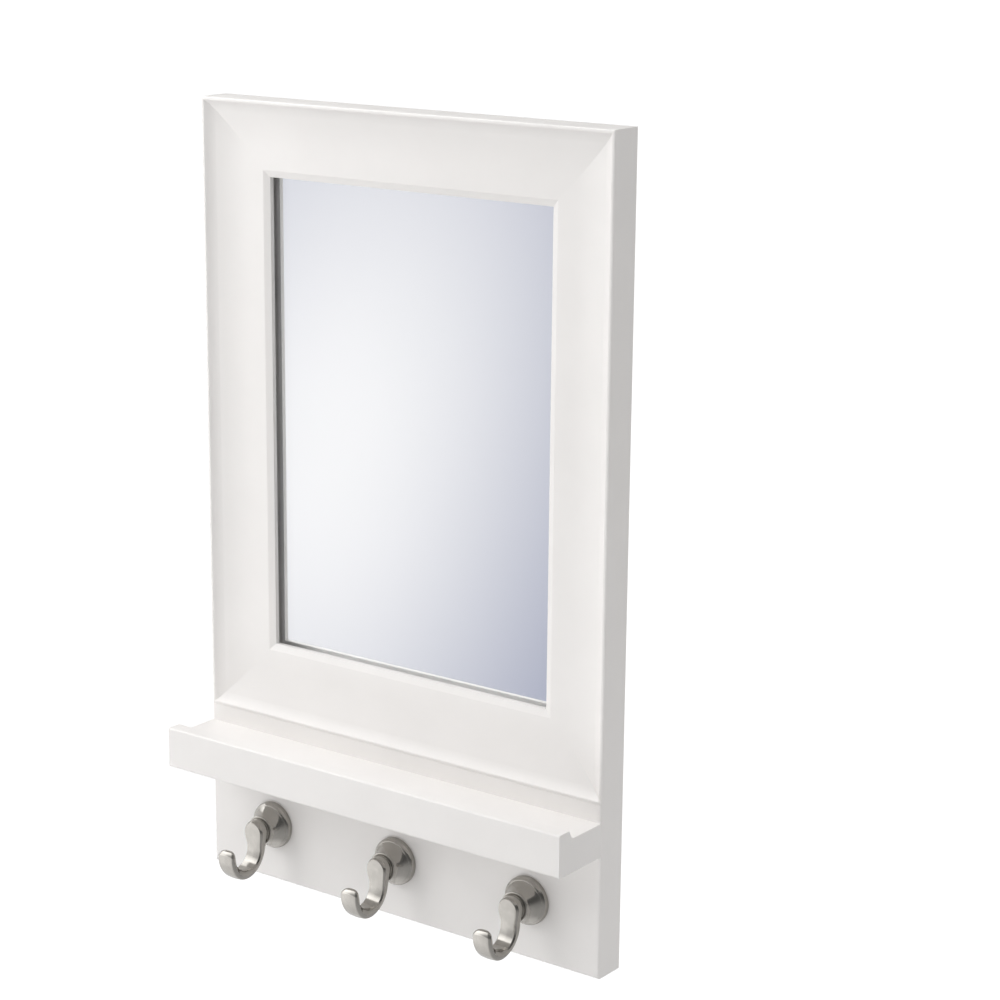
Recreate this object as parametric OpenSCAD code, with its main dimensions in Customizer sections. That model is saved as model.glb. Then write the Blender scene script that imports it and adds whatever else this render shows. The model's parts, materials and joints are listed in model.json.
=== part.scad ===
// Wall mirror in a coved frame, with a lipped shelf and three key hooks below it.
// The origin is the centre of the back, on the wall plane. +Z is up, -Y is the front.

/* [Overall] */
// Width of the frame, the shelf and the hook board
overall_w = 172.72; // [150:0.01:260]
// Height from the bottom of the hook board to the top of the frame
overall_h = 284.48; // [250:0.01:420]
// Thickness of the frame and of the hook board
frame_t = 12.7; // [12:0.1:20]
// Height of the hook board, up to the frame's bottom rail
board_h = 62.4; // [58:0.1:90]
// Rounding of the outer front edges of the frame and the hook board
edge_r = 0.6; // [0.2:0.1:0.9]
// Rounding of the hook board's bottom front edge
bottom_r = 1.2; // [0.4:0.1:3]

/* [Moulding] */
// Width of the moulding, from its outer side to the sight edge
moulding_w = 26.6; // [25:0.1:36]
// Width of the flat rim at the outer edge
rim_w = 1.1; // [1:0.1:3]
// Width of the steep outer part of the cove
steep_w = 3.5; // [2.5:0.1:4.5]
// Depth of the cove where its steep part ends
steep_d = 2.2; // [1.9:0.1:2.8]
// Width of the shallow inner part of the cove
shallow_w = 12.9; // [9:0.1:14]
// Depth of the cove at its inner end
cove_d = 4.3; // [3.6:0.1:4.5]
// Depth of the flat field where it meets the bevel
field_d = 4.5; // [4.3:0.1:5]
// Width of the bevel at the sight edge
bevel_w = 2.4; // [1:0.1:4]
// Depth that the bevel falls
bevel_d = 1.0; // [0.4:0.1:1.6]
// Depth of the glass behind the front of the frame
glass_d = 7.2; // [7:0.1:7.6]
// Width of the lip that the glass rests on
lap_w = 5; // [3:0.1:7]

/* [Mirror] */
// Thickness of the glass
glass_t = 3; // [2:0.1:3.2]
// Thickness of the silver coat and its paint
silver_t = 0.15; // [0.1:0.05:0.3]
// Thickness of the board behind the glass
backing_t = 1.2; // [0.8:0.1:1.3]
// Gap between the glass and the rabbet, on each side
glass_gap = 1; // [0.5:0.1:2]
// Thickness of a glazing point
point_t = 0.4; // [0.3:0.05:0.5]
// Width of a glazing point
point_w = 8; // [5:0.1:12]
// Length of a glazing point that lies on the backing board
point_lap = 4; // [3:0.1:6]
// Length of a glazing point in the wood
point_in = 5; // [3:0.1:7]
// Distance of each glazing point from the middle of its side, as a share of that side
point_share = 0.25; // [0.1:0.05:0.35]

/* [Shelf] */
// Distance that the shelf stands out from the frame
shelf_d = 24.1; // [18:0.1:45]
// Distance of the shelf's floor below the frame's bottom rail
shelf_drop = 6.3; // [3:0.1:9]
// Height of the shelf's front
shelf_h = 15; // [11:0.1:18]
// Height of the lip above the floor of the shelf
lip_h = 3.1; // [1.5:0.1:5]
// Thickness of the lip at its top
lip_w = 5.6; // [3:0.1:8]
// Width of the slope behind the lip
lip_slope = 1.6; // [0.5:0.1:3]
// Radius of the hollow at the foot of the lip
valley_r = 1.5; // [0.5:0.1:3]
// Rounding of the shelf's front edges
shelf_r = 0.7; // [0.3:0.1:2]

/* [Hooks] */
// Distance of the outer hooks' axes from the board's sides
hook_inset = 29.2; // [22:0.1:34]
// Distance of the hooks' axes below the underside of the shelf
hook_drop = 22.6; // [14:0.1:24]
// Diameter of the rosette
rosette_d = 17.4; // [15:0.1:22]
// Height of the rosette's rounded rim
rosette_rim_h = 2.3; // [1.5:0.1:3]
// Radius of the rim's rounded side
rosette_rim_r = 3.1; // [1.8:0.1:6]
// Width of the step between the rim's round and the flank
rosette_step = 0.7; // [0.5:0.1:1.5]
// Height of the rosette, up to its bead
rosette_h = 5.7; // [4.5:0.1:7]
// Radius of the slight dome of the rosette's flank
flank_r = 17.6; // [8:0.1:40]
// Radius of the bead's round, where the arm sits on the rosette
bead_r = 0.45; // [0.3:0.05:0.7]
// Diameter of the arm's head
head_d = 9.4; // [8.6:0.1:11]
// Diameter of the flat face on the arm's head
face_d = 7; // [6:0.1:8.4]
// Length of the arm's head
head_l = 5.4; // [4.5:0.1:8]
// Length of the chamfer on the arm's head
chamfer_l = 1.8; // [0.5:0.1:2.5]
// Distance that the front of the shank draws back below the head
shank_lean = 0.5; // [0:0.1:1]
// Diameter of the hook's throat
throat_d = 12.2; // [10:0.1:18]
// Thickness of the hook's bow
bow_t = 3.25; // [2.4:0.05:4]
// Height of the crown on the arm's outer side
crown = 0.25; // [0:0.05:0.5]
// Depth of the bow's centre below the axis
bow_drop = 5.9; // [5.2:0.1:9]
// Height of the tip above the bow's centre
tip_rise = 3.7; // [3:0.1:7]
// Height of the rounded end of the tip, above its crisp outer edge
tip_round = 2.3; // [1:0.1:2.6]
// Distance of the tip's crest from its inner side
tip_crest = 1.05; // [0.6:0.05:1.6]
// Outward lean of the tip's inner side
tip_lean = 0.3; // [0:0.1:0.8]

/* [Fixings] */
// Diameter of the hooks' machine screws
hook_screw_d = 4; // [3:0.1:4]
// Length of those screws under the head
hook_screw_l = 14.5; // [13:0.1:15.5]
// Diameter of their pan heads
hook_head_d = 7.8; // [6.5:0.1:8.4]
// Height of their pan heads
hook_head_h = 2.4; // [1.6:0.1:2.8]
// Diameter of the washers
washer_d = 9; // [8.6:0.1:9.6]
// Thickness of the washers
washer_t = 0.8; // [0.5:0.1:1.2]
// Diameter of the pocket for washer and head
pocket_d = 10.4; // [9.8:0.1:12]
// Depth of that pocket
pocket_h = 4.4; // [4.2:0.1:6]
// Diameter of the shelf's wood screws
shelf_screw_d = 3.5; // [3:0.1:4]
// Length of the shelf's wood screws
shelf_screw_l = 30; // [20:0.1:30]
// Diameter of their countersunk heads
shelf_head_d = 6.8; // [5.8:0.1:8]
// Distance of the outer shelf screws from the sides
shelf_screw_inset = 26.4; // [18:0.1:36]
// Diameter of the dowels
dowel_d = 5; // [4:0.1:6]
// Length of the dowels
dowel_l = 20; // [12:0.1:24]
// Distance of the dowels from the sides
dowel_inset = 31.4; // [30:0.1:45]
// Distance of the dowels from the back
dowel_y = 4.8; // [4:0.1:5.2]
// Depth of the V nails
nail_l = 6; // [4:0.1:6.4]
// Length of one leg of a V nail
nail_leg = 4.5; // [3:0.1:6]
// Thickness of a V nail
nail_t = 0.5; // [0.3:0.05:0.8]
// Distance of a V nail from the two outer sides of its corner
nail_in = 9; // [8:0.1:11]

/* [Hangers] */
// Distance of the hanging slot's seat below the top of the frame
hanger_drop = 40; // [36:0.1:80]
// Width of a keyhole plate
plate_w = 14; // [12:0.1:16]
// Length of a keyhole plate
plate_l = 38; // [36:0.1:46]
// Thickness of a keyhole plate
plate_t = 1.2; // [0.8:0.1:1.6]
// Diameter of the hole that lets the wall screw's head in
entry_d = 8; // [7:0.1:9]
// Width of the slot for the wall screw's shank
slot_w = 4.2; // [3.4:0.1:5]
// Way from the entry hole's centre up to the slot's seat
slot_run = 8; // [6:0.1:9]
// Depth of the pocket behind the plate, for the wall screw's head
hanger_pocket = 4.3; // [4.2:0.1:4.6]
// Distance between a plate's two screws
plate_screw_pitch = 29; // [28:0.1:30]
// Diameter of the plate's screws
plate_screw_d = 2.4; // [2:0.1:2.8]
// Diameter of their heads
plate_head_d = 4.4; // [3.8:0.1:5]
// Length of the plate's screws
plate_screw_l = 7; // [5:0.1:7]

/* [Clearances] */
// Gap round a nail, point, dowel or screw in its hole
fit = 0.05; // [0.02:0.01:0.1]
// Gap round a screw that passes freely
pass_gap = 0.25; // [0.15:0.05:0.4]
// Gap between an arm's post and the bore of its rosette
post_gap = 0.1; // [0.05:0.05:0.2]
// Gap round a keyhole plate in its recess
plate_gap = 0.2; // [0.1:0.05:0.4]
// Depth of fixings below the back
sink = 0.2; // [0.1:0.05:0.3]

/* [Hidden] */
$fa = 4;
$fs = 0.25;
cut = 1;

paint = "whitesmoke";
bare_wood = "burlywood";
board_brown = "peru";
nickel = "darkgray";
steel = "silver";

// Heights in the shared frame
z_top = overall_h / 2;
z_bottom = -overall_h / 2;
z_joint = z_bottom + board_h;
frame_h = overall_h - board_h;
z_mirror = (z_top + z_joint) / 2;

// Moulding section, in u from the outer side and d from the front
steep_end = rim_w + steep_w;
cove_end = steep_end + shallow_w;
bevel_start = moulding_w - bevel_w;
rabbet_u = moulding_w - lap_w;
join_angle = 2 * atan((cove_d - steep_d) / shallow_w);
start_angle = 2 * atan(steep_d / steep_w) - join_angle;
shallow_r = shallow_w / sin(join_angle);
steep_r = steep_w / (sin(start_angle) - sin(join_angle));
shallow_c = [cove_end, cove_d - shallow_r];
steep_c = [rim_w + steep_r * sin(start_angle), -steep_r * cos(start_angle)];

// Layers of the mirror, as y of each one's front
y_glass = glass_d - frame_t;
y_silver = y_glass + glass_t;
y_backing = y_silver + silver_t;
y_point = y_backing + backing_t;
glass_w = overall_w - 2 * (rabbet_u + glass_gap);
glass_h = frame_h - 2 * (rabbet_u + glass_gap);

// Shelf
shelf_floor = shelf_h - lip_h;
z_shelf = z_joint - shelf_drop - shelf_floor;
z_shelf_screw = z_shelf + shelf_floor / 2;
shelf_screw_x = overall_w / 2 - shelf_screw_inset;
dowel_x = overall_w / 2 - dowel_inset;
shelf_pilot = shelf_screw_l + fit;

// Hooks
hook_z = z_shelf - hook_drop;
outer_hook_x = overall_w / 2 - hook_inset;
hook_x = [-outer_hook_x, 0, outer_hook_x];
head_back = rosette_h + 2 * bead_r;
head_front = head_back + head_l;
post_r = hook_screw_d / 2 + 1.5;
washer_hole_r = hook_screw_d / 2 + 0.15;
throat_r = throat_d / 2;
shank_front = head_front - shank_lean;
bow_c = [shank_front + throat_r, -bow_drop];
shank_back = head_back + 0.3;
// The back of the shank runs into the bow on one larger arc that starts this far below the axis
back_start = -2;
bow_r = throat_r + bow_t;
back_dx = bow_c[0] - shank_back;
back_dz = bow_c[1] - back_start;
back_r = (back_dx * back_dx + back_dz * back_dz - bow_r * bow_r) / (2 * (back_dx - bow_r));
back_c = [shank_back + back_r, back_start];
tangent_angle = 180 + atan2(back_c[1] - bow_c[1], back_c[0] - bow_c[0]);

// Half widths of the arm at equal steps from head to tip: outer side, ridge, inner side
outer_w = [2.9, 2.95, 3.0, 3.1, 3.3, 3.5, 3.8, 3.7];
ridge_w = [3.3, 3.2, 3.2, 3.2, 3.3, 3.5, 3.8, 3.5];
inner_w = [3.2, 3.1, 2.9, 2.6, 2.5, 2.35, 1.9, 1.4];
arm_top = 1.5;
shank_steps = 6;
bow_steps = 24;
tip_steps = 2;
round_steps = 7;
last_round = 84;

// Hangers
hanger_x = overall_w / 2 - rabbet_u / 2;
hanger_z = z_top - hanger_drop - slot_run / 2;
recess_d = plate_t + sink;

// Draws its child, which stands on z = 0, into the back of the mirror from depth y
module from_back(x, y, z) {
    translate([x, -y, z]) rotate([90, 0, 0]) children();
}

// Countersunk screw along +Z, with its head's top at z = 0
module countersunk(d, head_d, length, gap = 0) {
    cylinder(h = length + gap, r = d / 2 + gap);
    cylinder(h = (head_d - d) / 2, r1 = head_d / 2 + gap, r2 = d / 2 + gap);
}

// Frame

module moulding_section() {
    difference() {
        union() {
            square([rabbet_u, frame_t]);
            square([moulding_w, glass_d]);
        }
        difference() {
            translate([-cut, -cut]) square(edge_r + cut);
            translate([edge_r, edge_r]) circle(r = edge_r);
        }
        intersection() {
            translate(steep_c) circle(r = steep_r);
            translate([rim_w, -cut]) square([steep_w, cut + steep_d]);
        }
        intersection() {
            translate(shallow_c) circle(r = shallow_r);
            translate([steep_end, -cut]) square([shallow_w, cut + cove_d]);
        }
        polygon([[cove_end, -cut], [cove_end, cove_d], [bevel_start, field_d],
            [moulding_w, field_d + bevel_d], [moulding_w + cut, field_d + bevel_d],
            [moulding_w + cut, -cut]]);
    }
}

// One member along +Z, its outer side at x = 0 and its front at y = 0, mitred at both ends
module mitred_member(length) {
    intersection() {
        linear_extrude(height = length) moulding_section();
        translate([0, frame_t + cut, 0]) rotate([90, 0, 0])
            linear_extrude(height = frame_t + 2 * cut)
                polygon([[0, 0], [moulding_w, moulding_w],
                    [moulding_w, length - moulding_w], [0, length]]);
    }
}

module corner_nail(gap = 0) {
    for (side = [-1, 1])
        rotate(side * 55) translate([0, -nail_t / 2 - gap])
            square([nail_leg + gap, nail_t + 2 * gap]);
}

module each_corner() {
    for (sx = [-1, 1])
        for (top = [0, 1])
            from_back(sx * (overall_w / 2 - nail_in), sink,
                top == 1 ? z_top - nail_in : z_joint + nail_in)
                rotate(top == 1 ? (sx < 0 ? -45 : -135) : (sx < 0 ? 45 : 135))
                    children();
}

module nail_slots() {
    each_corner() translate([0, 0, -sink - cut])
        linear_extrude(height = nail_l + sink + cut + fit) corner_nail(fit);
}

// Glazing point, its tip along +Y, its lap on the backing board along -Y
module glazing_point(gap = 0) {
    w = point_w / 2 + gap;
    polygon([[-w, -point_lap], [w, -point_lap], [w, point_in * 0.3],
        [0, point_in + gap], [-w, point_in * 0.3]]);
}

module each_point() {
    half_w = overall_w / 2 - rabbet_u;
    half_h = frame_h / 2 - rabbet_u;
    for (s = [-1, 1]) {
        x = s * point_share * 2 * half_w;
        z = s * point_share * 2 * half_h;
        from_back(x, 0, z_mirror + half_h) children();
        from_back(x, 0, z_mirror - half_h) rotate(180) children();
        from_back(half_w, 0, z_mirror + z) rotate(-90) children();
        from_back(-half_w, 0, z_mirror + z) rotate(90) children();
    }
}

module point_slots() {
    each_point() translate([0, 0, -y_point - point_t - fit])
        linear_extrude(height = point_t + 2 * fit) glazing_point(fit);
}

module top_rail() {
    color(paint) difference() {
        translate([-overall_w / 2, -frame_t, z_top]) rotate([0, 90, 0])
            mitred_member(overall_w);
        nail_slots();
        point_slots();
    }
}

module bottom_rail() {
    color(paint) difference() {
        translate([overall_w / 2, -frame_t, z_joint]) rotate([0, -90, 0])
            mitred_member(overall_w);
        nail_slots();
        point_slots();
        dowel_holes();
    }
}

module left_stile() {
    color(paint) difference() {
        translate([-overall_w / 2, -frame_t, z_joint]) mitred_member(frame_h);
        nail_slots();
        point_slots();
        hanger_cut(-hanger_x);
    }
}

module right_stile() {
    color(paint) difference() {
        mirror([1, 0, 0])
            translate([-overall_w / 2, -frame_t, z_joint]) mitred_member(frame_h);
        nail_slots();
        point_slots();
        hanger_cut(hanger_x);
    }
}

module corner_nails() {
    color(steel) each_corner() linear_extrude(height = nail_l) corner_nail();
}

// Hook board and shelf

module rounded_corner_cut(r) {
    difference() {
        translate([-cut, -cut]) square(r + cut);
        translate([r, r]) circle(r = r);
    }
}

module hook_board() {
    color(paint) difference() {
        translate([-overall_w / 2, -frame_t, z_bottom]) cube([overall_w, frame_t, board_h]);
        for (side = [0, 1])
            mirror([side, 0, 0]) translate([-overall_w / 2, -frame_t, z_bottom - cut])
                linear_extrude(height = board_h + 2 * cut) rounded_corner_cut(edge_r);
        translate([-overall_w / 2 - cut, -frame_t, z_bottom]) rotate([90, 0, 90])
            linear_extrude(height = overall_w + 2 * cut) rounded_corner_cut(bottom_r);
        dowel_holes();
        shelf_screw_holes();
        for (x = hook_x) {
            from_back(x, -cut, hook_z) cylinder(h = pocket_h + cut, r = pocket_d / 2);
            from_back(x, 0, hook_z)
                cylinder(h = frame_t + cut, r = hook_screw_d / 2 + pass_gap);
        }
    }
}

module dowel_cylinder(gap = 0) {
    for (s = [-1, 1])
        translate([s * dowel_x, -dowel_y, z_joint - dowel_l / 2 - gap])
            cylinder(h = dowel_l + 2 * gap, r = dowel_d / 2 + gap);
}

module dowel_holes() {
    dowel_cylinder(fit);
}

module joint_dowels() {
    color(bare_wood) dowel_cylinder();
}

// Side view of the shelf: x towards the wall from its front, y up from its underside
module shelf_section() {
    lip_foot = lip_w + lip_slope;
    difference() {
        polygon([[0, 0], [shelf_d, 0], [shelf_d, shelf_floor], [lip_foot, shelf_floor],
            [lip_w, shelf_h], [0, shelf_h]]);
        rounded_corner_cut(shelf_r);
        translate([0, shelf_h]) mirror([0, 1]) rounded_corner_cut(shelf_r);
    }
    valley_fill(lip_foot);
}

// Fills the foot of the lip's slope to a round hollow that touches the slope and the floor
module valley_fill(lip_foot) {
    slope = atan2(lip_h, lip_slope);
    reach = valley_r * tan(slope / 2);
    touch = [lip_foot - reach * cos(slope), shelf_floor + reach * sin(slope)];
    difference() {
        polygon([[lip_foot, shelf_floor], [lip_foot + reach, shelf_floor], touch]);
        translate([lip_foot + reach, shelf_floor + valley_r]) circle(r = valley_r);
    }
}

module shelf() {
    color(paint) difference() {
        translate([-overall_w / 2, -frame_t - shelf_d, z_shelf]) rotate([90, 0, 90])
            linear_extrude(height = overall_w) shelf_section();
        shelf_screw_holes();
    }
}

module shelf_screw_holes() {
    for (i = [-1, 0, 1])
        from_back(i * shelf_screw_x, 0, z_shelf_screw) {
            translate([0, 0, sink])
                countersunk(shelf_screw_d, shelf_head_d, shelf_screw_l, fit);
            translate([0, 0, -cut]) cylinder(h = sink + cut, r = shelf_head_d / 2 + fit);
        }
}

module shelf_screws() {
    color(steel)
        for (i = [-1, 0, 1])
            from_back(i * shelf_screw_x, sink, z_shelf_screw)
                countersunk(shelf_screw_d, shelf_head_d, shelf_screw_l);
}

// Mirror

module pane(y, thickness) {
    translate([-glass_w / 2, y, z_mirror - glass_h / 2]) cube([glass_w, thickness, glass_h]);
}

module mirror_glass() {
    color("lightblue") pane(y_glass, glass_t);
}

module silver_coat() {
    color("gainsboro") pane(y_silver, silver_t);
}

module backing_board() {
    color(board_brown) pane(y_backing, backing_t);
}

module glazing_points() {
    color(steel) each_point() translate([0, 0, -y_point - point_t])
        linear_extrude(height = point_t) glazing_point();
}

// Hangers

module plate_outline(gap = 0) {
    r = plate_w / 2;
    end = plate_l / 2 - r;
    square([plate_w + 2 * gap, 2 * end], center = true);
    for (s = [-1, 1]) translate([0, s * end]) circle(r = r + gap);
}

module keyhole_outline(entry_r, shank_r) {
    translate([0, -slot_run / 2]) circle(r = entry_r);
    translate([0, slot_run / 2]) circle(r = shank_r);
    square([2 * shank_r, slot_run], center = true);
}

module keyhole_plate(x) {
    color(steel) from_back(x, sink, hanger_z) difference() {
        linear_extrude(height = plate_t) plate_outline();
        translate([0, 0, -cut]) linear_extrude(height = plate_t + 2 * cut)
            keyhole_outline(entry_d / 2, slot_w / 2);
        for (s = [-1, 1]) translate([0, s * plate_screw_pitch / 2, 0])
            countersunk(plate_screw_d, plate_head_d, plate_t + cut, fit);
    }
}

// Recess, head pocket and screw holes of one keyhole plate
module hanger_cut(x) {
    pocket_r = entry_d / 2 + 0.6;
    from_back(x, 0, hanger_z) {
        translate([0, 0, -cut]) linear_extrude(height = recess_d + cut)
            plate_outline(plate_gap);
        linear_extrude(height = recess_d + hanger_pocket)
            keyhole_outline(pocket_r, pocket_r);
        for (s = [-1, 1]) translate([0, s * plate_screw_pitch / 2, 0])
            cylinder(h = sink + plate_screw_l + fit, r = plate_screw_d / 2 + fit);
    }
}

module left_keyhole_plate() {
    keyhole_plate(-hanger_x);
}

module right_keyhole_plate() {
    keyhole_plate(hanger_x);
}

module keyhole_screws() {
    color(steel)
        for (x = [-hanger_x, hanger_x])
            for (s = [-1, 1])
                from_back(x, sink, hanger_z + s * plate_screw_pitch / 2)
                    countersunk(plate_screw_d, plate_head_d, plate_screw_l);
}

// Hooks, drawn with x across, y up and z out from the board

module at_hook(x) {
    translate([x, -frame_t, hook_z]) rotate([90, 0, 0]) children();
}

// Half section of the rosette: a rounded rim, a slightly domed flank and a bead at the neck
module rosette_section() {
    r = rosette_d / 2;
    bore = post_r + post_gap;
    neck = head_d / 2 + bead_r / 2;
    foot = [r - rosette_step, rosette_rim_h];
    shoulder = [neck, rosette_h];
    difference() {
        union() {
            intersection() {
                square([r, rosette_rim_h]);
                translate([r - rosette_rim_r, rosette_rim_h * 0.4]) circle(r = rosette_rim_r);
            }
            polygon([[0, 0], [foot[0], 0], foot, shoulder, [neck, head_back - bead_r],
                [neck - bead_r, head_back], [0, head_back]]);
            intersection() {
                translate(flank_centre(foot, shoulder)) circle(r = flank_r);
                polygon([foot, [foot[0], rosette_h], shoulder]);
            }
            translate([neck - bead_r / 2, head_back - bead_r]) circle(r = bead_r);
        }
        translate([-cut, -cut]) square([bore + cut, head_back + 2 * cut]);
    }
}

// Centre of the flank's arc, which runs from foot to shoulder and bulges away from the axis
function flank_centre(foot, shoulder) =
    let(chord = shoulder - foot, half = norm(chord) / 2, away = sqrt(flank_r * flank_r - half * half))
    (foot + shoulder) / 2 - [chord[1], -chord[0]] / (2 * half) * away;

module rosette() {
    color(nickel) rotate_extrude() rosette_section();
}

module left_rosette() {
    at_hook(hook_x[0]) rosette();
}

module middle_rosette() {
    at_hook(hook_x[1]) rosette();
}

module right_rosette() {
    at_hook(hook_x[2]) rosette();
}

// Smooth curve through equally spaced values, for t from 0 to 1
function smooth_at(v, t) =
    let(
        n = len(v) - 1,
        i = min(floor(t * n), n - 1),
        f = t * n - i,
        a = v[max(i - 1, 0)],
        b = v[i],
        c = v[i + 1],
        d = v[min(i + 2, n)]
    )
    b + 0.5 * f * (c - a + f * (2 * a - 5 * b + 4 * c - d + f * (3 * (b - c) + d - a)));

// Distance of the shank's back from the board, at height y
function back_at(y) =
    y > back_start ? shank_back
    : back_c[0] - sqrt(back_r * back_r - pow(y - back_c[1], 2));

// Distance of the shank's front from the board, at height y: level with the head's face, then
// drawn back to the bow
function front_at(y) =
    head_front - shank_lean * max(0, (-face_d / 2 - y) / (bow_drop - face_d / 2));

// Outer radius of the bow at an angle: the back's larger arc up to its tangent, then the bow
function outer_at(angle) =
    angle > tangent_angle ? bow_r
    : let(
        away = back_c - bow_c,
        along = away[0] * cos(angle) + away[1] * sin(angle)
    )
    along + sqrt(along * along + back_r * back_r - away * away);

// Each station is [t, outer point, inner point, scale of the widths], points as [z, y]
shank_length = arm_top + bow_drop;
bow_length = PI * (throat_r + bow_t / 2);
arm_length = shank_length + bow_length + tip_rise;
tip_neck = tip_rise - tip_round;

function shank_station(i) =
    let(y = arm_top - shank_length * i / shank_steps)
    [(arm_top - y) / arm_length, [back_at(y), y], [front_at(y), y], 1];

function bow_station(i) =
    let(angle = 180 + 180 * i / bow_steps, way = [cos(angle), sin(angle)])
    [(shank_length + bow_length * i / bow_steps) / arm_length,
        bow_c + outer_at(angle) * way, bow_c + throat_r * way, 1];

function tip_station(i) =
    let(rise = tip_neck * i / tip_steps)
    [(shank_length + bow_length + rise) / arm_length,
        bow_c + [bow_r, rise], bow_c + [throat_r + tip_lean * i / tip_steps, rise], 1];

function round_station(i) =
    let(
        angle = last_round * i / round_steps,
        rise = tip_neck + tip_round * sin(angle),
        crest = throat_r + tip_lean + tip_crest,
        outer = crest + (bow_r - crest) * cos(angle) * (1 - 0.2 * sin(2 * angle)),
        inner = crest - tip_crest * pow(cos(angle), 0.8)
    )
    [(shank_length + bow_length + rise) / arm_length,
        bow_c + [outer, rise], bow_c + [inner, rise], pow(cos(angle), 0.6)];

stations = concat(
    [for (i = [0 : shank_steps - 1]) shank_station(i)],
    [for (i = [0 : bow_steps]) bow_station(i)],
    [for (i = [1 : tip_steps]) tip_station(i)],
    [for (i = [1 : round_steps]) round_station(i)]);

// Right-hand side of the arm's section: share of the thickness from outside, half width
function side_points(s) =
    let(
        o = smooth_at(outer_w, s[0]) * s[3],
        r = smooth_at(ridge_w, s[0]) * s[3],
        n = smooth_at(inner_w, s[0]) * s[3]
    )
    [[-crown / bow_t, o * 0.35], [0.02, o * 0.86], [0.2, o], [0.52, r], [0.92, n], [1, n * 0.92]];

function section_ring(s) =
    let(
        side = side_points(s),
        last = len(side) - 1,
        at = function (f) s[1] + f * (s[2] - s[1])
    )
    concat(
        [for (p = side) [p[1], at(p[0])[1], at(p[0])[0]]],
        [for (i = [last : -1 : 0]) [-side[i][1], at(side[i][0])[1], at(side[i][0])[0]]]);

module swept_arm() {
    rings = [for (s = stations) section_ring(s)];
    m = len(rings[0]);
    n = len(rings);
    polyhedron(
        points = [for (ring = rings) for (p = ring) p],
        faces = concat(
            [[for (j = [0 : m - 1]) j]],
            [for (i = [0 : n - 2]) for (j = [0 : m - 1]) [i * m + j,
                (i + 1) * m + (j + 1) % m, i * m + (j + 1) % m]],
            [for (i = [0 : n - 2]) for (j = [0 : m - 1]) [i * m + j,
                (i + 1) * m + j, (i + 1) * m + (j + 1) % m]],
            [[for (j = [m - 1 : -1 : 0]) (n - 1) * m + j]]));
}

module arm_head() {
    r = head_d / 2;
    rotate_extrude()
        polygon([[0, head_back], [r, head_back], [r, head_front - chamfer_l],
            [face_d / 2, head_front], [0, head_front]]);
}

module hook_arm() {
    tapped_end = pocket_h - washer_t + hook_screw_l - frame_t + 0.5;
    color(nickel) difference() {
        union() {
            arm_head();
            swept_arm();
            translate([0, 0, sink]) cylinder(h = head_back, r = post_r);
        }
        cylinder(h = tapped_end, r = hook_screw_d / 2 + fit);
    }
}

module left_hook_arm() {
    at_hook(hook_x[0]) hook_arm();
}

module middle_hook_arm() {
    at_hook(hook_x[1]) hook_arm();
}

module right_hook_arm() {
    at_hook(hook_x[2]) hook_arm();
}

module hook_washers() {
    color(steel)
        for (x = hook_x)
            from_back(x, pocket_h - washer_t, hook_z) difference() {
                cylinder(h = washer_t, r = washer_d / 2);
                translate([0, 0, -cut]) cylinder(h = washer_t + 2 * cut, r = washer_hole_r);
            }
}

module hook_screws() {
    color(steel)
        for (x = hook_x)
            from_back(x, pocket_h - washer_t - hook_head_h, hook_z) {
                cylinder(h = hook_head_h, r = hook_head_d / 2);
                cylinder(h = hook_head_h + hook_screw_l, r = hook_screw_d / 2);
            }
}

top_rail();
bottom_rail();
left_stile();
right_stile();
hook_board();
shelf();
mirror_glass();
silver_coat();
backing_board();
glazing_points();
corner_nails();
joint_dowels();
shelf_screws();
left_keyhole_plate();
right_keyhole_plate();
keyhole_screws();
left_rosette();
middle_rosette();
right_rosette();
left_hook_arm();
middle_hook_arm();
right_hook_arm();
hook_washers();
hook_screws();
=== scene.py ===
import json
import math

import bmesh
import bpy
from mathutils import Matrix, Vector


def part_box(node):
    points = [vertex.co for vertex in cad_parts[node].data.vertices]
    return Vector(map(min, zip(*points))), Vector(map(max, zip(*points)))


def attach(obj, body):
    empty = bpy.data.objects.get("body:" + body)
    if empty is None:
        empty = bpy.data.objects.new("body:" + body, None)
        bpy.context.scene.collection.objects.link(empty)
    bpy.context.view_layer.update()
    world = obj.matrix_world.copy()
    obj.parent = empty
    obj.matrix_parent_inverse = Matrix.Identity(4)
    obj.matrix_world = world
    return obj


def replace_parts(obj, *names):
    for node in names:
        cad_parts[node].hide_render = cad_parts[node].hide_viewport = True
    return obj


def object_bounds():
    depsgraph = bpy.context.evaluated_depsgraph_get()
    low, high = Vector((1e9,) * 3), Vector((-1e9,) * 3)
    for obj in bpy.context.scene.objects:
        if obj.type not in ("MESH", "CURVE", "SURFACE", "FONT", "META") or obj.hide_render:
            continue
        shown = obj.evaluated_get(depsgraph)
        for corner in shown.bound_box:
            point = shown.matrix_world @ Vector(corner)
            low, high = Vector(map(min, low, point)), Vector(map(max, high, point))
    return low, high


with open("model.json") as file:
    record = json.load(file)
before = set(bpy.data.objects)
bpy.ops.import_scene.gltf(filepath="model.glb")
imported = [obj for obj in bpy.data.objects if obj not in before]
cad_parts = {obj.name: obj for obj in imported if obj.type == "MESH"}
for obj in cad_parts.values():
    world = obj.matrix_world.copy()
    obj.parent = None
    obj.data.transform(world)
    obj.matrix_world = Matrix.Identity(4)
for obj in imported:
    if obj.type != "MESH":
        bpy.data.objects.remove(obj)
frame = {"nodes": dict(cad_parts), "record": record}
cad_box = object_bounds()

# Lengths are in metres, and in millimetres where a comment says so
MM = 0.001


# Shader nodes


def new_material(name):
    """A material with its Principled shader, its node tree and its object coordinates."""
    material = bpy.data.materials.new(name)
    material.use_nodes = True
    tree = material.node_tree
    shader = tree.nodes["Principled BSDF"]
    place = tree.nodes.new("ShaderNodeTexCoord").outputs["Object"]
    return material, tree, shader, place


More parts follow.
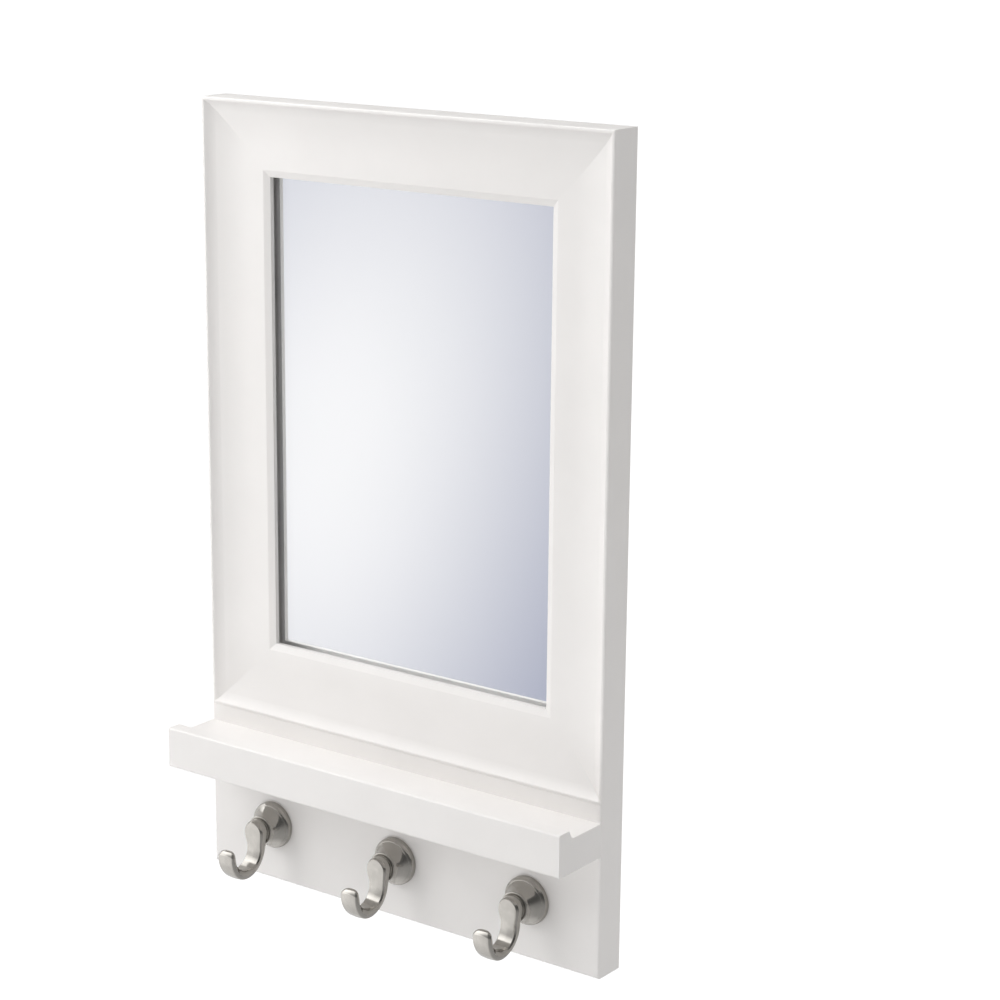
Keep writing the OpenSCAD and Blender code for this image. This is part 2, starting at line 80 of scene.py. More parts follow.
def bare_material(name):
    """A material with an empty node tree, and the socket that its surface goes into."""
    material = bpy.data.materials.new(name)
    material.use_nodes = True
    tree = material.node_tree
    tree.nodes.clear()
    return material, tree, tree.nodes.new("ShaderNodeOutputMaterial").inputs["Surface"]


def noise(tree, place, scale, detail=2.0, roughness=0.5, stretch=(1, 1, 1)):
    """Noise with cells of about 1/scale metres, longer along an axis where stretch is under 1."""
    mapping = tree.nodes.new("ShaderNodeMapping")
    mapping.inputs["Scale"].default_value = stretch
    texture = tree.nodes.new("ShaderNodeTexNoise")
    texture.inputs["Scale"].default_value = scale
    texture.inputs["Detail"].default_value = detail
    texture.inputs["Roughness"].default_value = roughness
    tree.links.new(place, mapping.inputs["Vector"])
    tree.links.new(mapping.outputs["Vector"], texture.inputs["Vector"])
    return texture.outputs["Fac"]


def ramp(tree, value, stops):
    """Colours between (position, colour) stops."""
    node = tree.nodes.new("ShaderNodeValToRGB")
    elements = node.color_ramp.elements
    while len(elements) < len(stops):
        elements.new(0.5)
    for element, (position, colour) in zip(elements, stops):
        element.position = position
        element.color = (*colour, 1)
    tree.links.new(value, node.inputs["Fac"])
    return node.outputs["Color"]


def spread(tree, value, low, high, start=0.3, end=0.7, interpolation="LINEAR"):
    """Maps values between start and end to numbers from low to high."""
    node = tree.nodes.new("ShaderNodeMapRange")
    node.interpolation_type = interpolation
    node.inputs["From Min"].default_value = start
    node.inputs["From Max"].default_value = end
    node.inputs["To Min"].default_value = low
    node.inputs["To Max"].default_value = high
    tree.links.new(value, node.inputs["Value"])
    return node.outputs["Result"]


def math_node(tree, operation, a, b):
    """Works on two values, each a number or a socket."""
    node = tree.nodes.new("ShaderNodeMath")
    node.operation = operation
    for socket, value in zip(node.inputs, (a, b)):
        if isinstance(value, (int, float)):
            socket.default_value = value
        else:
            tree.links.new(value, socket)
    return node.outputs["Value"]


def blend(tree, factor, first, second):
    """Mixes two colours, each a tuple or a socket."""
    node = tree.nodes.new("ShaderNodeMix")
    node.data_type = "RGBA"
    tree.links.new(factor, node.inputs["Factor"])
    for name, colour in (("A", first), ("B", second)):
        if isinstance(colour, tuple):
            node.inputs[name].default_value = (*colour, 1)
        else:
            tree.links.new(colour, node.inputs[name])
    return node.outputs["Result"]


def tint(tree, shader, value, stops):
    """Gives a shader its base colour, between (position, colour) stops."""
    tree.links.new(ramp(tree, value, stops), shader.inputs["Base Color"])


def bump(tree, shader, height, strength, distance):
    """Unevenness too fine to model, of up to the distance in metres."""
    node = tree.nodes.new("ShaderNodeBump")
    node.inputs["Strength"].default_value = strength
    node.inputs["Distance"].default_value = distance
    tree.links.new(height, node.inputs["Height"])
    tree.links.new(node.outputs["Normal"], shader.inputs["Normal"])


def shade(colour, factor):
    return tuple(min(1.0, c * factor) for c in colour)


def mixed(tree, factor, first, second):
    """The first shader where the factor is 0, and the second where it is 1."""
    node = tree.nodes.new("ShaderNodeMixShader")
    tree.links.new(factor, node.inputs["Fac"])
    tree.links.new(first, node.inputs[1])
    tree.links.new(second, node.inputs[2])
    return node.outputs["Shader"]


def added(tree, first, second):
    """The sum of two shaders."""
    node = tree.nodes.new("ShaderNodeAddShader")
    tree.links.new(first, node.inputs[0])
    tree.links.new(second, node.inputs[1])
    return node.outputs["Shader"]


def sent_on(tree):
    """1 for a ray that metal or glass sends on."""
    path = tree.nodes.new("ShaderNodeLightPath")
    return math_node(tree, "MAXIMUM", path.outputs["Is Glossy Ray"], path.outputs["Is Transmission Ray"])


# Materials

PAINT_COLOUR = (0.877, 0.855, 0.837)
NICKEL_COLOUR = (0.42, 0.403, 0.376)
ZINC_COLOUR = (0.66, 0.67, 0.69)
# Colour of the silver to soft light at its left edge: painted shade, darker than the silver itself, for
# the frame's lip in front of it
PAINTED_SHADE_SILVER = (0.2, 0.2, 0.2)
# How far from its left edge the silver keeps its full painted shade to soft light, and where that painted
# shade has faded out
PAINTED_SHADE_FULL_TO = 6 * MM
PAINTED_SHADE_GONE_FROM = 22 * MM


def painted_wood():
    """Satin white paint, rolled smooth over MDF: faint mottling and a fine orange peel."""
    material, tree, shader, place = new_material("satin_white_paint")
    mottle = noise(tree, place, 38, 3.0, 0.55)
    tint(tree, shader, mottle, [(0.32, shade(PAINT_COLOUR, 0.985)), (0.68, shade(PAINT_COLOUR, 1.012))])
    tree.links.new(spread(tree, noise(tree, place, 160), 0.36, 0.46), shader.inputs["Roughness"])
    bump(tree, shader, noise(tree, place, 900), 0.12, 0.06 * MM)
    return material


def brushed_metal(name, colour, roughness, grain_scale, stretch):
    """Plated metal with a fine brushed grain and a slightly cloudy colour."""
    material, tree, shader, place = new_material(name)
    shader.inputs["Metallic"].default_value = 1.0
    clouds = noise(tree, place, 260, 3.0, 0.55)
    tint(tree, shader, clouds, [(0.3, shade(colour, 0.93)), (0.7, shade(colour, 1.05))])
    grain = noise(tree, place, grain_scale, 2.0, 0.6, stretch)
    tree.links.new(spread(tree, grain, *roughness), shader.inputs["Roughness"])
    bump(tree, shader, grain, 0.12, 0.02 * MM)
    return material


def silvered():
    """The silver behind the glass: a mirror, but matt to the soft light of the wood round it.

    To that light it is painted darker near its left edge, as painted shade on the back of the frame's lip
    in front of it, where the photograph has a darker band."""
    material, tree, shader, place = new_material("silver_coat")
    soft = tree.nodes.new("ShaderNodeLightPath").outputs["Is Diffuse Ray"]
    tree.links.new(math_node(tree, "SUBTRACT", 1, soft), shader.inputs["Metallic"])
    shader.inputs["Roughness"].default_value = 0.0
    even = ramp(tree, noise(tree, place, 14), [(0.3, (0.955, 0.96, 0.965)), (0.7, (0.965, 0.97, 0.975))])
    across = tree.nodes.new("ShaderNodeSeparateXYZ")
    tree.links.new(place, across.inputs["Vector"])
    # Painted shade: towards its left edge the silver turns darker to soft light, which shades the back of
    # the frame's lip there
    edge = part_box("silver_coat")[0][0]
    painted_shade_near_edge = spread(tree, across.outputs["X"], 1, 0, edge + PAINTED_SHADE_FULL_TO, edge + PAINTED_SHADE_GONE_FROM)
    colour = blend(tree, math_node(tree, "MULTIPLY", painted_shade_near_edge, soft), even, PAINTED_SHADE_SILVER)
    tree.links.new(colour, shader.inputs["Base Color"])
    return material


def float_glass():
    """Clear float glass with the faintest green in it. Lamps and soft light pass straight through."""
    material, tree, shader, place = new_material("float_glass")
    path = tree.nodes.new("ShaderNodeLightPath")
    passed = math_node(tree, "MAXIMUM", path.outputs["Is Diffuse Ray"], path.outputs["Is Shadow Ray"])
    tree.links.new(math_node(tree, "SUBTRACT", 1, passed), shader.inputs["Alpha"])
    shader.inputs["Transmission Weight"].default_value = 1.0
    shader.inputs["Roughness"].default_value = 0.0
    shader.inputs["IOR"].default_value = 1.52
    faint = noise(tree, place, 22)
    tint(tree, shader, faint, [(0.3, (0.985, 0.995, 0.99)), (0.7, (0.992, 0.999, 0.996))])
    return material


def fibre_board():
    """Dense brown fibre board with fine flecks."""
    material, tree, shader, place = new_material("fibre_board")
    fine = noise(tree, place, 1500, 4.0, 0.7)
    broad = noise(tree, place, 60, 3.0, 0.5)
    flecks = math_node(tree, "MULTIPLY", fine, 0.65)
    clouds = math_node(tree, "MULTIPLY", broad, 0.35)
    stops = [(0.3, (0.12, 0.075, 0.04)), (0.5, (0.21, 0.135, 0.075)), (0.72, (0.33, 0.22, 0.13))]
    tint(tree, shader, math_node(tree, "ADD", flecks, clouds), stops)
    shader.inputs["Roughness"].default_value = 0.82
    bump(tree, shader, fine, 0.4, 0.08 * MM)
    return material


def beech():
    """Turned beech with short grain along the dowel."""
    material, tree, shader, place = new_material("beech")
    grain = noise(tree, place, 900, 3.0, 0.6, (1, 1, 0.06))
    tint(tree, shader, grain, [(0.3, (0.42, 0.27, 0.14)), (0.7, (0.62, 0.44, 0.26))])
    shader.inputs["Roughness"].default_value = 0.7
    bump(tree, shader, grain, 0.3, 0.05 * MM)
    return material


FINISHES = {
    "painted_wood": painted_wood(),
    "satin_nickel": brushed_metal("satin_nickel", NICKEL_COLOUR, (0.13, 0.22), 2600, (1, 1, 0.08)),
    "zinc": brushed_metal("bright_zinc", ZINC_COLOUR, (0.26, 0.42), 1800, (1, 0.3, 1)),
    "silver": silvered(),
    "glass": float_glass(),
    "backing": fibre_board(),
    "dowel_wood": beech(),
}


def dress(node, slot):
    """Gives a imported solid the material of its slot."""
    mesh = frame["nodes"][node].data
    mesh.materials.clear()
    mesh.materials.append(FINISHES[slot])


for part in frame["record"]["subparts"]:
    dress(part["node"], part["material_slot"])


# Building blocks for the new pieces


def piece_from(name, verts, faces, slot, smooth_deg=30.0):
    """A mesh object from points in metres, smooth except over sharp edges, riding on the frame."""
    mesh = bpy.data.meshes.new(name)
    mesh.from_pydata([tuple(v) for v in verts], [], faces)
    mesh.validate()
    piece = bpy.data.objects.new(name, mesh)
    bpy.context.scene.collection.objects.link(piece)
    finish_mesh(mesh, smooth_deg)
    mesh.materials.append(FINISHES[slot])
    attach(piece, "root")
    return piece


def finish_mesh(mesh, smooth_deg):
    """Merges doubles, turns all faces outwards and marks the sharp edges."""
    work = bmesh.new()
    work.from_mesh(mesh)
    bmesh.ops.remove_doubles(work, verts=work.verts, dist=1e-7)
    bmesh.ops.recalc_face_normals(work, faces=work.faces)
    for face in work.faces:
        face.smooth = True
    sharp = math.radians(smooth_deg)
    for edge in work.edges:
        edge.smooth = len(edge.link_faces) == 2 and edge.calc_face_angle(0) < sharp
    work.to_mesh(mesh)
    work.free()


def lathe(profile, turns):
    """Points and faces of a closed turned body. The profile is (radius, distance out), axis to axis."""
    verts, faces, rings = [], [], []
    for radius, out in profile:
        if radius < 1e-6:
            rings.append([len(verts)])
            verts.append((0, 0, out))
            continue
        rings.append(list(range(len(verts), len(verts) + turns)))
        for i in range(turns):
            angle = 2 * math.pi * i / turns
            verts.append((radius * math.cos(angle), radius * math.sin(angle), out))
    for a, b in zip(rings, rings[1:]):
        for i in range(turns):
            j = (i + 1) % turns
            corners = [a[i % len(a)], a[j % len(a)], b[j % len(b)], b[i % len(b)]]
            faces.append(list(dict.fromkeys(corners)))
    return verts, faces


def swept(sections):
    """Closed skin over sections with the same number of points, capped at both ends."""
    count = len(sections[0])
    verts = [point for section in sections for point in section]
    faces = [list(range(count))]
    for i in range(len(sections) - 1):
        here, ahead = i * count, (i + 1) * count
        for j in range(count):
            k = (j + 1) % count
            faces.append([here + j, here + k, ahead + k, ahead + j])
    faces.append(list(range(len(verts) - count, len(verts)))[::-1])
    return verts, faces


def arc(centre, radius, start_deg, end_deg, steps):
    """Points along an arc."""
    points = []
    for i in range(steps + 1):
        angle = math.radians(start_deg + (end_deg - start_deg) * i / steps)
        points.append((centre[0] + radius * math.cos(angle), centre[1] + radius * math.sin(angle)))
    return points


def box_corners(node):
    """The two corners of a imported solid's box."""
    low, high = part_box(node)
    return Vector(low), Vector(high)


BOARD_FRONT = box_corners("hook_board")[0].y


def at_hook(side, verts):
    """Hook coordinates in millimetres (across, up, out from the board) to the row frame."""
    low, high = box_corners(f"{side}_rosette")
    centre = (low + high) / 2
    return [Vector((centre.x + x * MM, BOARD_FRONT - d * MM, centre.z + y * MM)) for x, y, d in verts]


# Rosettes, in millimetres. Places are (radius, distance out from the board).

# The rim and its two roundings, the hollow flank and its two ends, the bead, and the neck's top
RIM_R = 8.7
BACK_EDGE_R = 0.25
FRONT_EDGE_R = 2.0
FRONT_EDGE_OUT = 0.9
FLANK_R = 8.0
FLANK_FOOT = (7.5, 2.75)
FLANK_NECK = (4.8, 7.1)
BEAD_C = (4.9, 7.65)
BEAD_R = 0.42
TOP_OUT = 8.6


def hollow_centre(a, b, radius):
    """Centre of the circle of that radius through a and b that bulges towards the axis."""
    mid = ((a[0] + b[0]) / 2, (a[1] + b[1]) / 2)
    half = math.dist(a, b) / 2
    away = math.sqrt(radius**2 - half**2)
    normal = ((a[1] - b[1]) / (2 * half), (b[0] - a[0]) / (2 * half))
    return mid[0] - normal[0] * away, mid[1] - normal[1] * away


def rosette_profile():
    """A flat back, a rounded rim, a hairline groove and a hollow flank up to the bead at the neck."""
    centre = hollow_centre(FLANK_FOOT, FLANK_NECK, FLANK_R)
    start, end = (
        math.degrees(math.atan2(out - centre[1], radius - centre[0])) % 360
        for radius, out in (FLANK_FOOT, FLANK_NECK)
    )
    back_edge = arc((RIM_R - BACK_EDGE_R, BACK_EDGE_R), BACK_EDGE_R, -90, 0, 4)
    front_edge = arc((RIM_R - FRONT_EDGE_R, FRONT_EDGE_OUT), FRONT_EDGE_R, 0, 58, 12)
    groove = [(7.66, 2.6), (7.56, 2.66)]
    flank = arc(centre, FLANK_R, start, end, 16)
    bead = arc(BEAD_C, BEAD_R, -80, 150, 14)
    top = [(4.45, TOP_OUT - 0.1), (4.35, TOP_OUT), (0, TOP_OUT)]
    return [(0, 0)] + back_edge + front_edge + groove + flank + bead + top


def make_rosette(side):
    verts, faces = lathe(rosette_profile(), 128)
    piece = piece_from(f"{side}_rosette_turned", at_hook(side, verts), faces, "satin_nickel")
    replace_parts(piece, f"{side}_rosette")


# Hook arms, in millimetres: out from the board (d), up from the hook's axis (y) and across (w)

# The strap's back and face at the axis, and how far the face leans back between head and bow
SHANK_BACK = 6.9
HEAD_FRONT = 12.0
SHANK_LEAN = 0.5
# The head's half width at its side and at its face, the depth of the chamfer between the two, the
# height of its arch as a share of its half width, and the way over which it narrows to the strap
BARREL_R = 4.25
FACE_R = 3.75
HEAD_CHAMFER = 0.95
HEAD_SQUASH = 1.03
HEAD_FALL = 5.2
# The height at which the back starts to curve, and the bow's centre, inner and outer radius
BACK_START = -2.0
BOW_C = (17.6, -5.9)
THROAT_R = 6.1
BOW_R = 9.35
# The tip's rise from the bow's centre, the part of it below the rounded top, the arch of the crisp
# edge between the two, how far the inner face leans out, and how far out of that face the top lies
TIP_RISE = 3.3
TIP_EDGE = 1.35
TIP_ARCH = 0.55
TIP_LEAN = 0.3
TIP_TOP = 1.05
# Depth of the facet along the strap's inner face
FACET = 0.5
# Half widths of the outer face, of the side's ridge and of the facet's two edges: of the strap, spaced
# evenly from the axis to the tip, and of the head
STRAP_AND_HEAD_W = (
    ((2.6, 2.6, 2.65, 2.75, 2.95, 3.3, 3.8, 3.7), BARREL_R),
    ((3.5, 3.55, 3.55, 3.5, 3.5, 3.55, 3.8, 3.5), BARREL_R),
    ((3.35, 3.4, 3.4, 3.3, 3.15, 2.8, 2.25, 1.6), BARREL_R),
    ((3.15, 3.1, 2.95, 2.85, 2.7, 2.4, 1.9, 1.35), FACE_R),
)
# Steps that bend each corner of a section round, an even number
CORNER_STEPS = 4
# Lengths along the strap
SHANK_LENGTH = -BOW_C[1]
BOW_LENGTH = math.pi * (THROAT_R + BOW_R) / 2
ARM_LENGTH = SHANK_LENGTH + BOW_LENGTH + TIP_RISE


def back_circle():
    """The arc behind the bow, tangent to the shank's back and through the bow's outer circle."""
    dx = BOW_C[0] - SHANK_BACK
    dz = BOW_C[1] - BACK_START
    radius = (dx**2 + dz**2 - BOW_R**2) / (2 * (dx - BOW_R))
    return (SHANK_BACK + radius, BACK_START), radius


BACK_C, BACK_R = back_circle()
TANGENT_ANGLE = math.pi + math.atan2(BACK_C[1] - BOW_C[1], BACK_C[0] - BOW_C[0])


def back_at(y):
    """Distance out of the shank's back."""
    if y > BACK_START:
        return SHANK_BACK
    return BACK_C[0] - math.sqrt(BACK_R**2 - (y - BACK_C[1]) ** 2)


def front_at(y):
    """Distance out of the strap's face, which leans back a little between the head and the bow."""
    return HEAD_FRONT - SHANK_LEAN * (1 - math.cos(math.pi * y / BOW_C[1])) / 2


def outer_at(angle):
    """Distance from the bow's centre to the outside of the bow."""
    if angle > TANGENT_ANGLE:
        return BOW_R
    away = (BACK_C[0] - BOW_C[0], BACK_C[1] - BOW_C[1])
    along = away[0] * math.cos(angle) + away[1] * math.sin(angle)
    return along + math.sqrt(along**2 + BACK_R**2 - away[0] ** 2 - away[1] ** 2)


def smooth_at(values, t):
    """A smooth curve through values spaced evenly over t from 0 to 1."""
    place = min(max(t, 0.0), 1.0) * (len(values) - 1)
    i = min(int(place), len(values) - 2)
    u = place - i
    a, b = values[i], values[i + 1]
    before = values[max(i - 1, 0)]
    after = values[min(i + 2, len(values) - 1)]
    m0, m1 = (b - before) / 2, (after - a) / 2
    return (
        a * (2 * u**3 - 3 * u**2 + 1)
        + m0 * (u**3 - 2 * u**2 + u)
        + b * (3 * u**2 - 2 * u**3)
        + m1 * (u**3 - u**2)
    )


def rounded_loop(points, cuts):
    """A closed loop through the points, each corner cut back by its distance and bent round."""
    loop = []
    for i, corner in enumerate(points):
        ends = []
        for other in (points[i - 1], points[(i + 1) % len(points)]):
            length = math.dist(corner, other)
            share = min(cuts[i], length * 0.45) / length
            ends.append([c + (o - c) * share for c, o in zip(corner, other)])
        start, end = ends
        for k in range(CORNER_STEPS + 1):
            u = k / CORNER_STEPS
            near, mid, far = (1 - u) ** 2, 2 * u * (1 - u), u * u
            loop.append(tuple(near * s + mid * c + far * e for s, c, e in zip(start, corner, end)))
    return loop


def towards_ellipse(s, w, thick, half_width, share):
    """Moves a point of a section towards the ellipse of that thickness and half width."""
    half = thick / 2
    angle = math.atan2(w / half_width, (s - half) / half)
    round_s, round_w = half * (1 + math.cos(angle)), half_width * math.sin(angle)
    return s + (round_s - s) * share, w + (round_w - w) * share


def arm_section(outer, inner, t, narrow=1.0, roundness=0.0, head=0.0):
    """One section of the arm between its outer and inner line, as (across, up, out) points.

    Roundness 1 makes it an ellipse, head 1 a section through the middle of the head."""
    half_widths = []
    for values, at_head in STRAP_AND_HEAD_W:
        strap = smooth_at(values, t) * narrow
        half_widths.append(strap + (at_head - strap) * head)
    outer_w, ridge_w, facet_w, inner_w = half_widths
    thick = math.dist(outer, inner)
    facet = FACET * narrow + (HEAD_CHAMFER - FACET) * head
    # Corners from the outer line in: distance from it, half width, and how far the corner is cut
    right = [
        (-0.18 * narrow * (1 - head), 0.0, 2.4),
        (0.02 * thick, outer_w * 0.86, 0.5),
        (0.2 * thick, outer_w, 0.7),
        (0.5 * thick, ridge_w, 0.14),
        (thick - min(facet, 0.4 * thick), facet_w, 0.12 + 0.1 * head),
        (thick, inner_w, 0.12 + 0.05 * head),
        (thick + 0.07 * narrow * (1 - head), 0.0, 0.3),
    ]
    left = [(s, -w, cut) for s, w, cut in reversed(right[1:-1])]
    corners = right + left
    loop = rounded_loop([(s, w) for s, w, _ in corners], [cut * narrow for _, _, cut in corners])
    if roundness:
        loop = [towards_ellipse(s, w, thick, ridge_w, roundness) for s, w in loop]
    direction = ((inner[0] - outer[0]) / thick, (inner[1] - outer[1]) / thick)
    return [(w, outer[1] + direction[1] * s, outer[0] + direction[0] * s) for s, w in loop]


def arched(section, rise):
    """Lifts the middle of a section, so that its edges arch."""
    half_width = max(x for x, _, _ in section)
    return [(x, y + rise * (1 - (x / half_width) ** 2), d) for x, y, d in section]


def shank_sections(steps=26):
    """From the hook's axis down to the bow, with the head narrowing to the strap."""
    sections = []
    for i in range(steps):
        y = -SHANK_LENGTH * i / steps
        head = (1 + math.cos(math.pi * min(1.0, -y / HEAD_FALL))) / 2
        sections.append(arm_section((back_at(y), y), (front_at(y), y), -y / ARM_LENGTH, head=head))
    return sections


def bow_sections(steps=64):
    """Half a turn round the bow."""
    sections = []
    for i in range(steps + 1):
        angle = math.pi * (1 + i / steps)
        outer, inner = (
            (BOW_C[0] + radius * math.cos(angle), BOW_C[1] + radius * math.sin(angle))
            for radius in (outer_at(angle), THROAT_R)
        )
        sections.append(arm_section(outer, inner, (SHANK_LENGTH + BOW_LENGTH * i / steps) / ARM_LENGTH))
    return sections


def tip_sections(edge_steps=6, dome_steps=14):
    """From the bow up to the tip's crisp edge, and over its rounded top."""
    sections = []
    outer_d, inner_d = BOW_C[0] + BOW_R, BOW_C[0] + THROAT_R
    for i in range(1, edge_steps + 1):
        rise = TIP_EDGE * i / edge_steps
        y = BOW_C[1] + rise
        lean = TIP_LEAN * rise / TIP_EDGE
        section = arm_section((outer_d, y), (inner_d + lean, y), 1 - (TIP_RISE - rise) / ARM_LENGTH)
        sections.append(arched(section, TIP_ARCH * rise / TIP_EDGE))
    inner_d += TIP_LEAN
    top_d = inner_d + TIP_TOP
    for i in range(1, dome_steps + 1):
        angle = math.pi / 2 * i / (dome_steps + 0.35)
        rise = math.sin(angle)
        y = BOW_C[1] + TIP_EDGE + (TIP_RISE - TIP_EDGE) * rise
        # The outer face bends over faster than the inner one
        outer_share = math.cos(angle) * (1 - 0.12 * math.sin(angle * 2)) - 0.03 * (1 - rise)
        inner_share = math.cos(angle) ** 0.8
        outer = (top_d + (outer_d - top_d) * outer_share, y)
        inner = (top_d + (inner_d - top_d) * inner_share, y)
        section = arm_section(outer, inner, 1.0, math.cos(angle) ** 0.62, rise)
        sections.append(arched(section, TIP_ARCH * (1 - rise)))
    return sections


def head_turned(section, turns=56):
    """The arch of the head: the right half of a section on the hook's axis, turned over to the left.

    The half goes from the middle point of the section's first corner to that of the opposite one."""
    first = CORNER_STEPS // 2
    half = section[first:first + len(section) // 2 + 1]
    verts, faces = [], []
    for i in range(turns + 1):
        angle = math.pi * i / turns
        verts += [(x * math.cos(angle), HEAD_SQUASH * x * math.sin(angle), d) for x, _, d in half]
    count = len(half)
    for i in range(turns):
        here, ahead = i * count, (i + 1) * count
        for j in range(count - 1):
            faces.append([here + j, ahead + j, ahead + j + 1, here + j + 1])
    return verts, faces


def make_arm(side):
    """The strap from the hook's axis down, and the head's arch above it."""
    sections = shank_sections() + bow_sections() + tip_sections()
    verts, faces = swept(sections)
    arch_verts, arch_faces = head_turned(sections[0])
    # Without the cap at the axis, where the arch goes on
    faces = faces[1:] + [[len(verts) + i for i in face] for face in arch_faces]
    points = at_hook(side, verts + arch_verts)
    piece = piece_from(f"{side}_hook_arm_forged", points, faces, "satin_nickel", 26.0)
    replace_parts(piece, f"{side}_hook_arm")


for hook_side in ("left", "middle", "right"):
    make_rosette(hook_side)
    make_arm(hook_side)


# Screws in the back, in millimetres, with the radii of their heads
SHELF_HEAD_R = 3.4
HOOK_HEAD_R = 3.9
KEYHOLE_HEAD_R = 2.2


def cross(span, width, depth):
    """Two sections of the tapered cross that a driver fits into, the first just outside the head."""
    a, b = span / 2, width / 2
    quarter = [(a, b), (b, b), (b, a)]
    outline = []
    for _ in range(4):
        outline += quarter
        quarter = [(-y, x) for x, y in quarter]
    ends = ((-0.4, 1.05), (depth, 0.6))
    return [[(x * scale, y * scale, deep) for x, y in outline] for deep, scale in ends]


def countersunk_profile(head_r, shank_r, length):
    """A flat head with a thin land at its edge, a cone, and a shank with a point."""
    land_r = head_r - 0.03
    return [
        (0, 0),
        (head_r - 0.15, 0),
        (land_r, 0.05),
        (land_r, 0.16),
        (shank_r, head_r - shank_r + 0.2),
        (shank_r, length - 1.5),
        (0.3, length),
        (0, length),
    ]


def pan_profile(head_r, head_h, shank_r, length):
    """A rounded head and a plain shank."""
    rounding = 1.15
    top = [(0, 0), (head_r - 1.4, 0.12)]
    side = arc((head_r - rounding, 1.25), rounding, -80, 0, 8)
    shank = [(shank_r, head_h), (shank_r, length - 0.3), (shank_r - 0.3, length), (0, length)]
    return top + side + [(head_r, head_h)] + shank


def in_metres(points):
    return [Vector(point) * MM for point in points]


def make_screws(node, profile, recess, spots):
    """Turned screws with a driver's recess, their heads to the back at the spots (x, z) in metres."""
    verts, faces = lathe(profile, 56)
    blank = piece_from(f"{node}_blank", in_metres(verts), faces, "zinc")
    verts, faces = swept(recess)
    driver = piece_from(f"{node}_driver", in_metres(verts), faces, "zinc")
    cut = blank.modifiers.new("recess", "BOOLEAN")
    cut.operation = "DIFFERENCE"
    cut.solver = "EXACT"
    cut.object = driver
    bpy.context.view_layer.update()
    recessed = blank.evaluated_get(bpy.context.evaluated_depsgraph_get())
    screw = bpy.data.meshes.new_from_object(recessed)
    bpy.data.objects.remove(driver)
    bpy.data.objects.remove(blank)
    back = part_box(node)[1][1]
    count = len(screw.vertices)
    verts = [(x + v.co.x, back - v.co.z, z + v.co.y) for x, z in spots for v in screw.vertices]
    faces = [[i * count + k for k in face.vertices] for i in range(len(spots)) for face in screw.polygons]
    bpy.data.meshes.remove(screw)
    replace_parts(piece_from(f"{node}_turned", verts, faces, "zinc"), node)


def row_of_three(node, head_r):
    """Spots at the left, in the middle and at the right of a node's box."""
    low, high = box_corners(node)
    height = (low.z + high.z) / 2
    return [(x, height) for x in (low.x + head_r * MM, 0.0, high.x - head_r * MM)]


def four_corners(node, head_r):
    """Spots in the four corners of a node's box."""
    low, high = box_corners(node)
    inset = head_r * MM
    return [(x, z) for x in (low.x + inset, high.x - inset) for z in (low.z + inset, high.z - inset)]


def make_back_screws():
    profile = countersunk_profile(SHELF_HEAD_R, 1.75, 30)
    spots = row_of_three("shelf_screws", SHELF_HEAD_R)
    make_screws("shelf_screws", profile, cross(4.3, 1.0, 1.7), spots)
    profile = pan_profile(HOOK_HEAD_R, 2.4, 2.0, 16.9)
    spots = row_of_three("hook_screws", HOOK_HEAD_R)
    make_screws("hook_screws", profile, cross(4.4, 1.1, 1.8), spots)
    profile = countersunk_profile(KEYHOLE_HEAD_R, 1.2, 7)
    spots = four_corners("keyhole_screws", KEYHOLE_HEAD_R)
    make_screws("keyhole_screws", profile, cross(2.8, 0.65, 0.9), spots)


make_back_screws()


# Glass

# Gap between the glass and the frame's lip, too thin to see
HAIR = 0.02 * MM
# Depth that the glass reaches into the silver coat, so that light meets the silver inside the glass
SILVER_OVERLAP = 0.05 * MM
GROUND_EDGE = 0.35 * MM


def make_glass():
    """The pane with ground edges at its front, and its back inside the silver coat."""
    low, high = box_corners("mirror_glass")
    low.y += HAIR
    high.y += SILVER_OVERLAP
    rings = []
    for y, inset in ((low.y, GROUND_EDGE), (low.y + GROUND_EDGE, 0), (high.y, 0)):
        rings.append([
            (low.x + inset, y, low.z + inset),
            (high.x - inset, y, low.z + inset),
            (high.x - inset, y, high.z - inset),
            (low.x + inset, y, high.z - inset),
        ])
    verts, faces = swept(rings)
    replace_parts(piece_from("mirror_pane", verts, faces, "glass", 1.0), "mirror_glass")


make_glass()


# Paint in the joint between the frame and the hook board

# Distance from the frame's sides to the ends of the paint
JOINT_END = 0.3 * MM
# The fillet's section in millimetres: behind the board's front, and above its top edge
JOINT_SECTION = [(0.5, 0.4), (0.16, 0.3), (0.15, 0.03), (0.26, -0.01), (0.4, -0.05)]


def make_joint_paint():
    """A fillet of paint in the rounded edge above the hook board, which leaves a shallow groove."""
    low, high = box_corners("hook_board")
    sections = [
        [(x, low.y + depth * MM, high.z + rise * MM) for depth, rise in JOINT_SECTION]
        for x in (low.x + JOINT_END, high.x - JOINT_END)
    ]
    verts, faces = swept(sections)
    piece_from("joint_paint", verts, faces, "painted_wood")


make_joint_paint()


# Studio

FLOOR_Z = cad_box[0].z - 1.3
FLOOR_HALF = 30.0
FLOOR_COLOUR = (0.8, 0.8, 0.8)
# What the floor adds for the camera, so that it looks white
FLOOR_GLOW = 0.75

# Strength of the world's light on paint
WORLD_LEVEL = 0.441


def toward(azimuth, elevation, distance):
    """A place seen from the origin. Azimuth 0 is the front, and negative is the viewer's left."""
    a, e = math.radians(azimuth), math.radians(elevation)
    return Vector((math.sin(a) * math.cos(e), -math.cos(a) * math.cos(e), math.sin(e))) * distance


